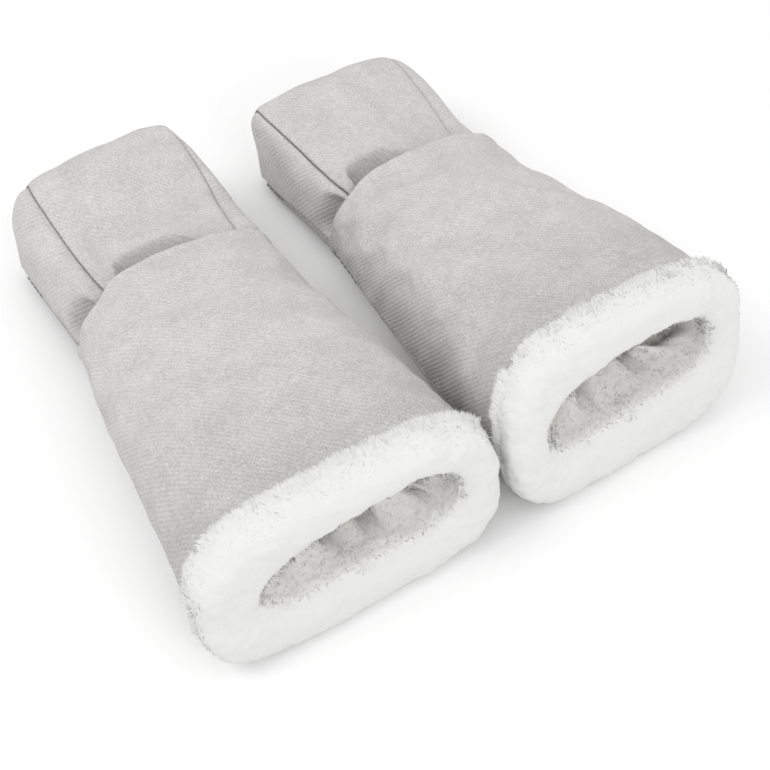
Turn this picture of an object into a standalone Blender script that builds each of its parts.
"""A pair of stroller hand muffs, in metres.

Each muff is a padded cloth tube with a plush roll round its mouth. Behind the tube a hood of
three sewn panels goes over the handlebar, and a strap under the bar closes it. The mouths
face -Y, the hoods +Y, and the bar runs along X.
"""

import math

import bmesh
import bpy
from mathutils import Vector

# The two muffs are alike, but they lie differently: one mouth is flatter, and each hood is
# drawn a little towards the other muff
MOUTH_WIDTHS = {"left": 0.160, "right": 0.148}
MOUTH_HEIGHTS = {"left": 0.081, "right": 0.098}
FLAP_SHIFTS = {"left": 0.0045, "right": -0.0045}
HOOD_REAR_HEIGHTS = {"left": 0.0590, "right": 0.0555}
PAIR_GAP = 0.003
MOUTH_LEAN = math.radians(13.0)

# The plush roll round the mouth, pressed thinner where it lies
ROLL_FRONT = -0.0135
ROLL_DEPTH = 0.024
ROLL_THICKNESS = 0.021
ROLL_REST_THICKNESS = 0.015

# The tube
TUBE_REAR = 0.200
REAR_WIDTH = 0.116
REAR_HEIGHT = 0.063
TUBE_PUFF = 0.002
CLOTH_STEP = 0.0035
FLAT_CUT = 0.002
MIDDLE_SHARE = 0.44
SEAM_ANGLE = math.radians(12.0)
SEAM_HALF_GAP = math.radians(0.4)

# Thickness of the layers, and the clearance between neighbours
CLOTH = 0.0012
WADDING = 0.004
PILE = 0.004
FACING = 0.003
CLEARANCE = 0.0003
HOOD_TUCK = 0.011

# The hood behind the tube, and the half widths of its centre flap from the tube to the foot
HOOD_LENGTH = 0.097
HOOD_CORNER = 0.010
FLAP_TOP_GAP = 0.0058
FLAP_SIDE_GAP = 0.0013
FLAP_FRONT_HALF = 0.040
FLAP_REAR_HALF = 0.048
FLAP_FOOT_HALF = 0.055
FLAP_FOOT_SETBACK = 0.007
FLAP_DIP = 0.0005
FLAP_DIP_SHARE = 0.35
FLAP_REAR_CROWN = 0.0035
FLAP_BACK_SHARES = (0.5, 0.25)
SEAM_LAP = 0.002

# The gussets and their bound lower edges, above the way through for the bar
GUSSET_GAP = 0.0023
GUSSET_REAR_HALF = 0.060
GUSSET_BULGE = 0.004
GUSSET_CORNER_SHARES = (0.84, 0.95)
GUSSET_FOOT_SETBACK = 0.009
BAR_WAY_HEIGHT = 0.0082
HEM_HEIGHT = 0.006
HEM_THICKNESS = 0.0034
HEM_EDGE = 0.001

# The closure strap and its hook and loop tapes
STRAP_THICKNESS = 0.002
STRAP_LENGTH = 0.122
STRAP_HINGE_HALF = 0.052
STRAP_END_HALF = 0.036
STRAP_CORNER = 0.012
STRAP_CLEAR = 0.0007
BINDING_WIDTH = 0.005
TAPE_THICKNESS = 0.0015
TAPE_CORNER = 0.003
HOOK_LENGTH = 0.022
HOOK_WIDTH = 0.052
HOOK_MARGIN = 0.002
LOOP_LENGTH = 0.025
LOOP_WIDTH = 0.058
RECESS_RAMP = 0.012

# Counts of the facets
TOP_SEGMENTS = 18
BASE_SEGMENTS = 10
TUBE_SEGMENTS = 6
ROLL_SEGMENTS = 36
ROLL_SIDES = 12
FLAP_COLUMNS = 8
FLAP_ROWS = 18
GUSSET_COLUMNS = 5
HEM_ROWS = 8
STRAP_COLUMNS = 6
STRAP_ROWS = 6

# How square the sections are: 2 is an ellipse, more is squarer
MOUTH_SQUARENESS = 3.4
OPENING_SQUARENESS = 3.0
REAR_SQUARENESS = 2.3
BASE_SQUARENESS = 3.6
ROLL_SQUARENESS = 2.4

# How soon the tube widens and rises from its rear edge: 1 is straight, more is later
WIDTH_POWER = 0.9
HEIGHT_POWER = 1.35

# Heights of the stack under the tube's rear, from the surface up
STRAP_TOP = CLEARANCE + STRAP_THICKNESS
HOOK_BOTTOM = STRAP_TOP + CLEARANCE
LOOP_BOTTOM = HOOK_BOTTOM + TAPE_THICKNESS + CLEARANCE
RECESS_HEIGHT = LOOP_BOTTOM + TAPE_THICKNESS + CLEARANCE
HEM_BOTTOM = STRAP_TOP + BAR_WAY_HEIGHT
HEM_TOP = HEM_BOTTOM + HEM_HEIGHT
HINGE_Z = CLEARANCE + STRAP_THICKNESS / 2

# Places along the muff
TUBE_FRONT = ROLL_FRONT + ROLL_DEPTH + CLEARANCE
HOOD_FRONT = TUBE_REAR - HOOD_TUCK
HOOD_REAR = TUBE_REAR + HOOD_LENGTH
STRAP_HINGE_Y = HOOD_REAR - FLAP_FOOT_SETBACK
STRAP_END_Y = STRAP_HINGE_Y - STRAP_LENGTH
RECESS_FULL_Y = STRAP_END_Y - BINDING_WIDTH - 2 * CLEARANCE

# The front of the hood, where it is tucked inside the tube's rear edge
GUSSET_FRONT_HALF = REAR_WIDTH / 2 - CLOTH - GUSSET_GAP

SMOOTH_ANGLE = math.radians(50.0)


def clear_scene():
    for old in list(bpy.data.objects):
        bpy.data.objects.remove(old, do_unlink=True)


def make_material(name, colour, roughness):
    material = bpy.data.materials.new(name)
    material.use_nodes = True
    shader = material.node_tree.nodes["Principled BSDF"]
    shader.inputs["Base Color"].default_value = (*colour, 1.0)
    shader.inputs["Roughness"].default_value = roughness
    shader.inputs["Metallic"].default_value = 0.0
    material.diffuse_color = (*colour, 1.0)
    return material


def make_empty(name, place, parent=None):
    empty = bpy.data.objects.new(name, None)
    empty.location = place
    empty.parent = parent
    bpy.context.collection.objects.link(empty)
    return empty


def add_object(name, shape, material, parent, origin=(0.0, 0.0, 0.0)):
    """Make an object of a bmesh that is drawn in the muff's own frame."""
    mesh = bpy.data.meshes.new(name)
    bmesh.ops.translate(shape, verts=shape.verts, vec=-Vector(origin))
    shape.to_mesh(mesh)
    shape.free()
    mesh.shade_smooth()
    mesh.set_sharp_from_angle(angle=SMOOTH_ANGLE)
    mesh.materials.append(material)
    piece = bpy.data.objects.new(name, mesh)
    piece.parent = parent
    bpy.context.collection.objects.link(piece)
    return piece


def lerp(start, end, share):
    return start + (end - start) * share


def signed_power(value, power):
    return math.copysign(abs(value) ** power, value)


def add_grid(shape, rows, closed=False):
    """Join rows of points by quads, and give back the rows of vertices."""
    verts = [[shape.verts.new(point) for point in row] for row in rows]
    columns = len(rows[0])
    last = columns if closed else columns - 1
    for near, far in zip(verts, verts[1:]):
        for column in range(last):
            after = (column + 1) % columns
            shape.faces.new((near[column], far[column], far[after], near[after]))
    return verts


def sheet_between(name, outer, inner, material, parent, closed=False, origin=(0.0, 0.0, 0.0)):
    """A solid sheet between two like grids of points, with its edges closed all round."""
    shape = bmesh.new()
    over = add_grid(shape, outer, closed)
    under = add_grid(shape, inner, closed)
    rims = [(over[0], under[0]), (over[-1], under[-1])]
    if closed:
        rims = [(edge + edge[:1], other + other[:1]) for edge, other in rims]
    else:
        rims.append(([row[0] for row in over], [row[0] for row in under]))
        rims.append(([row[-1] for row in over], [row[-1] for row in under]))
    for edge, other in rims:
        for step in range(len(edge) - 1):
            shape.faces.new((edge[step], edge[step + 1], other[step + 1], other[step]))
    bmesh.ops.recalc_face_normals(shape, faces=shape.faces)
    return add_object(name, shape, material, parent, origin)


def swept_bar(name, rings, material, parent):
    """A closed bar through rings of points, with a flat cap at each end."""
    shape = bmesh.new()
    verts = add_grid(shape, rings, closed=True)
    shape.faces.new(verts[0])
    shape.faces.new(verts[-1])
    bmesh.ops.recalc_face_normals(shape, faces=shape.faces)
    return add_object(name, shape, material, parent)


def floor_height(y):
    """Underside of the tube: flat on the surface, and raised at the rear over the strap."""
    ramp_start = RECESS_FULL_Y - RECESS_RAMP
    share = min(max((y - ramp_start) / RECESS_RAMP, 0.0), 1.0)
    return RECESS_HEIGHT * share


def tube_point(side, share, angle, inset):
    """A point of the tube's section, from the mouth (share 0) to its rear edge (share 1)."""
    puff = TUBE_PUFF * math.sin(math.pi * share)
    mouth_half = MOUTH_WIDTHS[side] / 2 - CLOTH_STEP
    mouth_height = MOUTH_HEIGHTS[side] - CLOTH_STEP
    half_width = lerp(REAR_WIDTH / 2, mouth_half, (1.0 - share) ** WIDTH_POWER) + puff / 2
    height = lerp(REAR_HEIGHT, mouth_height, (1.0 - share) ** HEIGHT_POWER) + puff
    middle = height * MIDDLE_SHARE
    square = lerp(REAR_SQUARENESS, MOUTH_SQUARENESS, 1.0 - share)
    reach = height - middle
    if math.sin(angle) < 0.0:
        square = BASE_SQUARENESS
        reach = middle + FLAT_CUT
    x = (half_width - inset) * signed_power(math.cos(angle), 2 / square)
    z = middle + (reach - inset) * signed_power(math.sin(angle), 2 / square)
    z = max(z, inset)
    front = TUBE_FRONT + z * math.tan(MOUTH_LEAN)
    y = lerp(front, TUBE_REAR, share)
    return Vector((x, y, max(z, floor_height(y) + inset)))


def height_under_tube(x):
    """Height of the cloth's inner side at the tube's rear edge, at a distance x from its middle."""
    middle = REAR_HEIGHT * MIDDLE_SHARE
    across = x / (REAR_WIDTH / 2 - CLOTH)
    reach = REAR_HEIGHT - middle - CLOTH
    return middle + reach * (1.0 - across ** REAR_SQUARENESS) ** (1.0 / REAR_SQUARENESS)


def tube_shares():
    """Stations along the tube, with the recess and the tucked layers at stations of their own."""
    length = TUBE_REAR - TUBE_FRONT
    marks = [RECESS_FULL_Y - RECESS_RAMP, RECESS_FULL_Y]
    start, full = [(mark - TUBE_FRONT) / length for mark in marks]
    top_front = TUBE_FRONT + REAR_HEIGHT * math.tan(MOUTH_LEAN)
    tuck = (HOOD_FRONT - CLEARANCE - top_front) / (TUBE_REAR - top_front)
    shares = [start * step / TUBE_SEGMENTS for step in range(TUBE_SEGMENTS + 1)]
    return shares + [full, (full + tuck) / 2, tuck, 1.0]


def seam_to_seam(low, high, segments, gap):
    """Angles from one side seam to the other, held back from each seam by a gap."""
    angles = [lerp(low, high, step / segments) for step in range(segments + 1)]
    angles[0] += gap
    angles[-1] -= gap
    return angles


def top_angles(gap):
    return seam_to_seam(-SEAM_ANGLE, math.pi + SEAM_ANGLE, TOP_SEGMENTS, gap)


def base_angles(gap):
    return seam_to_seam(math.pi + SEAM_ANGLE, 2 * math.pi - SEAM_ANGLE, BASE_SEGMENTS, gap)


def tube_rows(side, shares, angles, inset):
    return [[tube_point(side, share, angle, inset) for angle in angles] for share in shares]


def make_tube(side, materials, muff):
    """Outer cloth, padding and lining, nested with the same facets so that they stay clear."""
    shares = tube_shares()
    inner_shares = shares[:-1]
    padding_inset = CLOTH + CLEARANCE
    lining_inset = padding_inset + WADDING + CLEARANCE
    panels = (("top", top_angles(SEAM_HALF_GAP)), ("base", base_angles(SEAM_HALF_GAP)))
    for place, angles in panels:
        outer = tube_rows(side, shares, angles, 0.0)
        inner = tube_rows(side, shares, angles, CLOTH)
        sheet_between(f"{side}_{place}_panel", outer, inner, materials["woven"], muff)
        outer = tube_rows(side, inner_shares, angles, padding_inset)
        inner = tube_rows(side, inner_shares, angles, padding_inset + WADDING)
        sheet_between(f"{side}_{place}_wadding", outer, inner, materials["wadding"], muff)
    ring = top_angles(0.0) + base_angles(0.0)[1:-1]
    outer = tube_rows(side, inner_shares, ring, lining_inset)
    inner = tube_rows(side, inner_shares, ring, lining_inset + PILE)
    sheet_between(f"{side}_fleece_lining", outer, inner, materials["plush"], muff, closed=True)


def ring_point(half_width, low, high, square, angle):
    """A point of an upright superellipse whose box is given."""
    x = half_width * signed_power(math.cos(angle), 2 / square)
    z = (high - low) / 2 * signed_power(math.sin(angle), 2 / square)
    return Vector((x, 0.0, (low + high) / 2 + z))


def make_roll(side, materials, muff):
    """The plush band, rolled round the mouth. The mouth leans back towards the top."""
    half_width = MOUTH_WIDTHS[side] / 2
    height = MOUTH_HEIGHTS[side]
    inner_half = half_width - ROLL_THICKNESS
    inner_top = height - ROLL_THICKNESS
    power = 2 / ROLL_SQUARENESS
    centre_y = ROLL_FRONT + ROLL_DEPTH / 2
    rings = []
    for step in range(ROLL_SEGMENTS):
        angle = 2 * math.pi * step / ROLL_SEGMENTS
        outer = ring_point(half_width, -FLAT_CUT, height, MOUTH_SQUARENESS, angle)
        inner = ring_point(inner_half, ROLL_REST_THICKNESS, inner_top, OPENING_SQUARENESS, angle)
        middle = (outer + inner) / 2
        radial = (outer - inner) / 2
        ring = []
        for turn_step in range(ROLL_SIDES):
            turn = 2 * math.pi * turn_step / ROLL_SIDES
            point = middle + radial * signed_power(math.cos(turn), power)
            point.z = max(point.z, 0.0)
            along = ROLL_DEPTH / 2 * signed_power(math.sin(turn), power)
            point.y = centre_y + along + point.z * math.tan(MOUTH_LEAN)
            ring.append(point)
        rings.append(ring)
    shape = bmesh.new()
    verts = add_grid(shape, rings, closed=True)
    for step in range(ROLL_SIDES):
        after = (step + 1) % ROLL_SIDES
        shape.faces.new((verts[-1][step], verts[0][step], verts[0][after], verts[-1][after]))
    bmesh.ops.recalc_face_normals(shape, faces=shape.faces)
    add_object(f"{side}_fur_cuff", shape, materials["plush"], muff)


def flap_stations(side):
    """Stations of the flap, over the bar and down to the strap, each as y, z, half width,
    crown and shift to one side."""
    shift = FLAP_SHIFTS[side]
    front_z = height_under_tube(FLAP_FRONT_HALF + abs(shift)) - FLAP_SIDE_GAP
    front_crown = height_under_tube(0.0) - FLAP_TOP_GAP - front_z
    top = HOOD_REAR_HEIGHTS[side]
    foot_z = STRAP_TOP + STRAP_CLEAR
    mid_share, low_share = FLAP_BACK_SHARES
    mid_z = lerp(foot_z, top, mid_share)
    low_z = lerp(foot_z, top, low_share)
    dip_y = lerp(TUBE_REAR, HOOD_REAR, FLAP_DIP_SHARE)
    dip_half = lerp(FLAP_FRONT_HALF, FLAP_REAR_HALF, FLAP_DIP_SHARE)
    dip_crown = lerp(front_crown, FLAP_REAR_CROWN, FLAP_DIP_SHARE)
    back_half = (FLAP_REAR_HALF + FLAP_FOOT_HALF) / 2
    low_y = lerp(STRAP_HINGE_Y, HOOD_REAR, mid_share)
    turn = HOOD_CORNER / 3
    return [
        (HOOD_FRONT, front_z, FLAP_FRONT_HALF, front_crown, shift),
        (TUBE_REAR, front_z, FLAP_FRONT_HALF, front_crown, shift),
        (dip_y, front_z - FLAP_DIP, dip_half, dip_crown, shift),
        (HOOD_REAR - 2 * HOOD_CORNER, top, FLAP_REAR_HALF, FLAP_REAR_CROWN, shift),
        (HOOD_REAR - turn, top - turn, FLAP_REAR_HALF, FLAP_REAR_CROWN, shift),
        (HOOD_REAR, mid_z, back_half, FLAP_REAR_CROWN, shift / 2),
        (low_y, low_z, FLAP_FOOT_HALF, FLAP_REAR_CROWN, 0.0),
        (STRAP_HINGE_Y - CLOTH, foot_z, FLAP_FOOT_HALF, FLAP_REAR_CROWN, 0.0),
    ]


def curve_through(points, count):
    """Even samples of the smooth curve through points of any number of values."""
    spans = len(points) - 1
    samples = []
    for step in range(count * spans + 1):
        span = min(step // count, spans - 1)
        share = step / count - span
        before = points[max(span - 1, 0)]
        start, end = points[span], points[span + 1]
        after = points[min(span + 2, spans)]
        sample = []
        for p0, p1, p2, p3 in zip(before, start, end, after):
            bend = (p2 - p0, 2 * p0 - 5 * p1 + 4 * p2 - p3, 3 * (p1 - p2) + p3 - p0)
            sample.append(p1 + share * (bend[0] + share * (bend[1] + share * bend[2])) / 2)
        samples.append(sample)
    return samples


def even_stations(samples, rows):
    """Pick stations at even distances along the profile."""
    distances = [0.0]
    for start, end in zip(samples, samples[1:]):
        distances.append(distances[-1] + math.hypot(end[0] - start[0], end[1] - start[1]))
    stations = []
    for row in range(rows + 1):
        wanted = distances[-1] * row / rows
        index = min(range(len(distances)), key=lambda i: abs(distances[i] - wanted))
        stations.append(samples[index])
    return stations


def flap_frames(side):
    """Each station of the flap: its point, half width, crown and outward direction."""
    samples = curve_through(flap_stations(side), 2 * FLAP_ROWS)
    stations = even_stations(samples, FLAP_ROWS)
    frames = []
    for index, (y, z, half_width, crown, shift) in enumerate(stations):
        before = stations[max(index - 1, 0)]
        after = stations[min(index + 1, len(stations) - 1)]
        along = Vector((0.0, after[0] - before[0], after[1] - before[1])).normalized()
        outward = Vector((0.0, -along.z, along.y))
        frames.append((Vector((shift, y, z)), half_width, crown, outward))
    return frames


def flap_point(frame, across, depth=0.0, lap=0.0):
    """A point of the flap's outer side, with across running from 1 at +X to -1 at -X."""
    centre, half_width, crown, outward = frame
    x = (half_width - lap) * across
    rise = crown * (1.0 - across * across)
    return centre + Vector((x, 0.0, 0.0)) + outward * (rise - depth)


def make_flap(side, frames, materials, muff):
    across = [lerp(1.0, -1.0, step / FLAP_COLUMNS) for step in range(FLAP_COLUMNS + 1)]
    outer = [[flap_point(frame, share) for share in across] for frame in frames]
    inner = [[flap_point(frame, share, depth=CLOTH) for share in across] for frame in frames]
    sheet_between(f"{side}_bar_flap", outer, inner, materials["woven"], muff)


def gusset_foot(top, rim_z, hand):
    """The point of the gusset's lower edge that belongs to a point of its sewn edge."""
    along = (top.y - HOOD_FRONT) / (HOOD_REAR - HOOD_FRONT)
    drop = min(max((rim_z - top.z) / (rim_z - HEM_TOP), 0.0), 1.0)
    rear_y = HOOD_REAR - GUSSET_FOOT_SETBACK
    turn_y = rear_y - GUSSET_FOOT_SETBACK
    y = lerp(lerp(HOOD_FRONT, turn_y, along), rear_y, drop * along)
    half = lerp(GUSSET_FRONT_HALF, GUSSET_REAR_HALF, along)
    return Vector((hand * half, y, HEM_TOP + CLEARANCE))


def gusset_frames(frames):
    """The stations of the flap that lie above the gussets' lower edge."""
    return [frame for frame in frames if frame[0].z > HEM_TOP + 2 * CLEARANCE]


def gusset_column(frame, rim_z, hand):
    """Points from the gusset's lower edge up to the edge sewn under the flap, whose front edge
    is at the height rim_z."""
    top = flap_point(frame, hand, depth=CLOTH + CLEARANCE, lap=SEAM_LAP)
    foot = gusset_foot(top, rim_z, hand)
    y_share, z_share = GUSSET_CORNER_SHARES
    corner = Vector((
        foot.x + hand * GUSSET_BULGE,
        lerp(foot.y, top.y, y_share),
        lerp(foot.z, top.z, z_share),
    ))
    points = []
    for step in range(GUSSET_COLUMNS + 1):
        share = step / GUSSET_COLUMNS
        low = foot.lerp(corner, share)
        high = corner.lerp(top, share)
        points.append(low.lerp(high, share))
    return points


def make_gussets(side, frames, materials, muff):
    rim_z = frames[0][0].z
    for hand_name, hand in (("right", 1.0), ("left", -1.0)):
        outer = [gusset_column(frame, rim_z, hand) for frame in gusset_frames(frames)]
        inner = [inset_section(column, hand * CLOTH) for column in outer]
        sheet_between(f"{side}_gusset_{hand_name}", outer, inner, materials["woven"], muff)


def inset_section(points, depth):
    """Move a section of the hood inwards, square to itself in the X and Z directions."""
    moved = []
    for index, point in enumerate(points):
        before = points[max(index - 1, 0)]
        after = points[min(index + 1, len(points) - 1)]
        along = Vector((after.x - before.x, 0.0, after.z - before.z)).normalized()
        inward = Vector((-along.z, 0.0, along.x))
        moved.append(point + inward * depth)
    return moved


def make_hood_lining(side, frames, materials, muff):
    """The plush facing inside the flap and the gussets, open below and towards the tube."""
    rim_z = frames[0][0].z
    depth = 2 * (CLOTH + CLEARANCE) + CLEARANCE
    rear_limit = HOOD_REAR - 2 * HOOD_CORNER
    inner_across = [lerp(1.0, -1.0, step / FLAP_COLUMNS) for step in range(1, FLAP_COLUMNS)]
    sections = []
    for frame in frames:
        if frame[0].y > rear_limit:
            break
        right = gusset_column(frame, rim_z, 1.0)[:-1]
        left = gusset_column(frame, rim_z, -1.0)[:-1][::-1]
        over = [flap_point(frame, share) for share in inner_across]
        sections.append(right + over + left)
    outer = [inset_section(section, depth) for section in sections]
    inner = [inset_section(section, depth + FACING) for section in sections]
    sheet_between(f"{side}_hood_lining", outer, inner, materials["plush"], muff)


def make_hems(side, materials, muff):
    """The bound lower edges of the gussets, above the way through for the bar."""
    for hand_name, hand in (("right", 1.0), ("left", -1.0)):
        rings = []
        for row in range(HEM_ROWS + 1):
            along = row / HEM_ROWS
            y = lerp(TUBE_REAR + CLEARANCE, HOOD_REAR - GUSSET_FOOT_SETBACK, along)
            share = (y - HOOD_FRONT) / (HOOD_REAR - HOOD_FRONT)
            outer = lerp(GUSSET_FRONT_HALF, GUSSET_REAR_HALF, share) + HEM_EDGE / 2
            inner = outer - HEM_THICKNESS
            outline = [
                (outer - HEM_EDGE, HEM_BOTTOM),
                (outer, HEM_BOTTOM + HEM_EDGE),
                (outer, HEM_TOP - HEM_EDGE),
                (outer - HEM_EDGE, HEM_TOP),
                (inner + HEM_EDGE, HEM_TOP),
                (inner, HEM_TOP - HEM_EDGE),
                (inner, HEM_BOTTOM + HEM_EDGE),
                (inner + HEM_EDGE, HEM_BOTTOM),
            ]
            rings.append([Vector((hand * x, y, z)) for x, z in outline])
        swept_bar(f"{side}_hem_{hand_name}", rings, materials["binding"], muff)


def strap_half_width(y):
    """Half the strap's width: it tapers to its free end, whose corners are rounded."""
    along = (y - STRAP_END_Y) / (STRAP_HINGE_Y - STRAP_END_Y)
    half = lerp(STRAP_END_HALF, STRAP_HINGE_HALF, along)
    from_end = min(y - STRAP_END_Y, STRAP_CORNER)
    cut = STRAP_CORNER - math.sqrt(STRAP_CORNER ** 2 - (STRAP_CORNER - from_end) ** 2)
    return half - cut


def make_strap(side, materials, hinge, origin):
    """The strap, its bound end and the hook tape, hung on the hinge's axis."""
    corner_steps = [0.0, STRAP_CORNER / 12, STRAP_CORNER / 3, STRAP_CORNER]
    start = STRAP_END_Y + STRAP_CORNER
    stations = [STRAP_END_Y + step for step in corner_steps]
    for row in range(1, STRAP_ROWS + 1):
        stations.append(lerp(start, STRAP_HINGE_Y, row / STRAP_ROWS))
    layers = []
    for z in (STRAP_TOP, CLEARANCE):
        rows = []
        for y in stations:
            half = strap_half_width(y)
            places = [lerp(half, -half, step / STRAP_COLUMNS) for step in range(STRAP_COLUMNS + 1)]
            rows.append([Vector((x, y, z)) for x in places])
        layers.append(rows)
    over, under = layers
    sheet_between(f"{side}_closure_strap", over, under, materials["woven"], hinge, origin=origin)

    binding_half = STRAP_END_HALF - STRAP_CORNER
    binding_y = STRAP_END_Y - CLEARANCE - BINDING_WIDTH / 2
    binding_size = (2 * binding_half, BINDING_WIDTH, STRAP_THICKNESS)
    binding_centre = (0.0, binding_y, CLEARANCE + STRAP_THICKNESS / 2)
    rounded_block(f"{side}_strap_binding", binding_size, binding_centre,
                  STRAP_THICKNESS / 4, materials["binding"], hinge, origin)

    hook_y = STRAP_END_Y + HOOK_MARGIN + HOOK_LENGTH / 2
    hook_size = (HOOK_WIDTH, HOOK_LENGTH, TAPE_THICKNESS)
    hook_centre = (0.0, hook_y, HOOK_BOTTOM + TAPE_THICKNESS / 2)
    rounded_block(f"{side}_hook_tape", hook_size, hook_centre, TAPE_CORNER,
                  materials["hook"], hinge, origin, upright_only=True)


def make_loop_tape(side, materials, muff):
    """The loop tape under the tube's rear, over the hook tape of the closed strap."""
    loop_y = STRAP_END_Y + HOOK_MARGIN + HOOK_LENGTH / 2
    loop_size = (LOOP_WIDTH, LOOP_LENGTH, TAPE_THICKNESS)
    loop_centre = (0.0, loop_y, LOOP_BOTTOM + TAPE_THICKNESS / 2)
    rounded_block(f"{side}_loop_tape", loop_size, loop_centre, TAPE_CORNER,
                  materials["loop"], muff, upright_only=True)


def rounded_block(name, size, centre, radius, material, parent, origin=(0.0, 0.0, 0.0),
                  upright_only=False):
    """A flat block whose upright edges, or all edges, are rounded."""
    shape = bmesh.new()
    bmesh.ops.create_cube(shape, size=1.0)
    bmesh.ops.scale(shape, vec=size, verts=shape.verts)
    edges = list(shape.edges)
    if upright_only:
        edges = [edge for edge in edges if edge.verts[0].co.xy == edge.verts[1].co.xy]
    bmesh.ops.bevel(shape, geom=edges, offset=radius, segments=3 if upright_only else 1,
                    profile=0.5, affect="EDGES")
    bmesh.ops.translate(shape, vec=centre, verts=shape.verts)
    return add_object(name, shape, material, parent, origin)


def make_muff(side, materials):
    muff = make_empty(f"{side}_muff", (0.0, 0.0, 0.0))
    make_tube(side, materials, muff)
    make_roll(side, materials, muff)
    frames = flap_frames(side)
    make_flap(side, frames, materials, muff)
    make_gussets(side, frames, materials, muff)
    make_hood_lining(side, frames, materials, muff)
    make_hems(side, materials, muff)
    make_loop_tape(side, materials, muff)
    hinge_place = (0.0, STRAP_HINGE_Y, HINGE_Z)
    hinge = make_empty(f"{side}_strap_hinge", hinge_place, muff)
    make_strap(side, materials, hinge, hinge_place)
    return muff


def place_pair(muffs):
    """Set the muffs side by side, with the middle of their box's underside at the origin."""
    span = MOUTH_WIDTHS["left"] + PAIR_GAP + MOUTH_WIDTHS["right"]
    muffs["left"].location.x = (MOUTH_WIDTHS["left"] - span) / 2
    muffs["right"].location.x = (span - MOUTH_WIDTHS["right"]) / 2
    bpy.context.view_layer.update()
    graph = bpy.context.evaluated_depsgraph_get()
    reach = []
    for piece in bpy.data.objects:
        if piece.type == "MESH":
            mesh = piece.evaluated_get(graph).data
            reach += [(piece.matrix_world @ vertex.co).y for vertex in mesh.vertices]
    for muff in muffs.values():
        muff.location.y = -(min(reach) + max(reach)) / 2
    bpy.context.view_layer.update()


def main():
    clear_scene()
    materials = {
        "woven": make_material("woven_grey", (0.60, 0.59, 0.57), 0.90),
        "plush": make_material("plush_white", (0.86, 0.86, 0.85), 1.0),
        "wadding": make_material("wadding_white", (0.92, 0.92, 0.92), 1.0),
        "binding": make_material("binding_grey", (0.50, 0.49, 0.48), 0.85),
        "hook": make_material("hook_tape_grey", (0.42, 0.42, 0.42), 0.80),
        "loop": make_material("loop_tape_grey", (0.46, 0.46, 0.45), 0.95),
    }
    muffs = {side: make_muff(side, materials) for side in ("left", "right")}
    place_pair(muffs)
    for side in muffs:
        axis = bpy.data.objects[f"{side}_strap_hinge"].matrix_world.translation
        print(f"{side} strap hinge at", [round(value, 6) for value in axis])


main()
